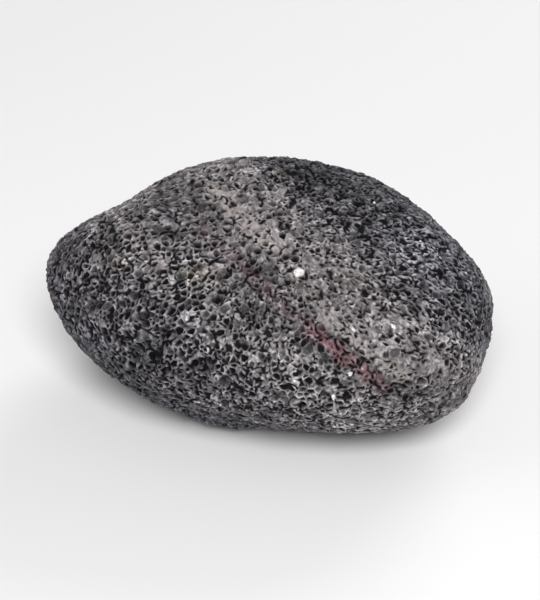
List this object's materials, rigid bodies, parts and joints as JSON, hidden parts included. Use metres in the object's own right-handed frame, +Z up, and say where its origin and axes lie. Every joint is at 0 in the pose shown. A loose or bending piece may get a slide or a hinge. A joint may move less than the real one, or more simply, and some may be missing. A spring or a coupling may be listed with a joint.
{
  "type": "aquarium hardscape lava stone",
  "caption": "Rounded, tumbled lump of dark bubbly lava rock with open pits all over and a flat foot, laid on the substrate as aquarium hardscape.",
  "frame": {"origin": "on the ground under the middle of the stone's overall box", "axes": "+X along the stone's length, +Z up from the surface it rests on"},
  "size_m": [0.1156, 0.0844, 0.0605],
  "materials": {
    "lava_stone": "dull tumbled basalt, grey with a paler band, near-black pores and paler worn rims"
  },
  "bodies": {
    "root": {"lava_stone": "lava_stone"}
  },
  "joints": []
}
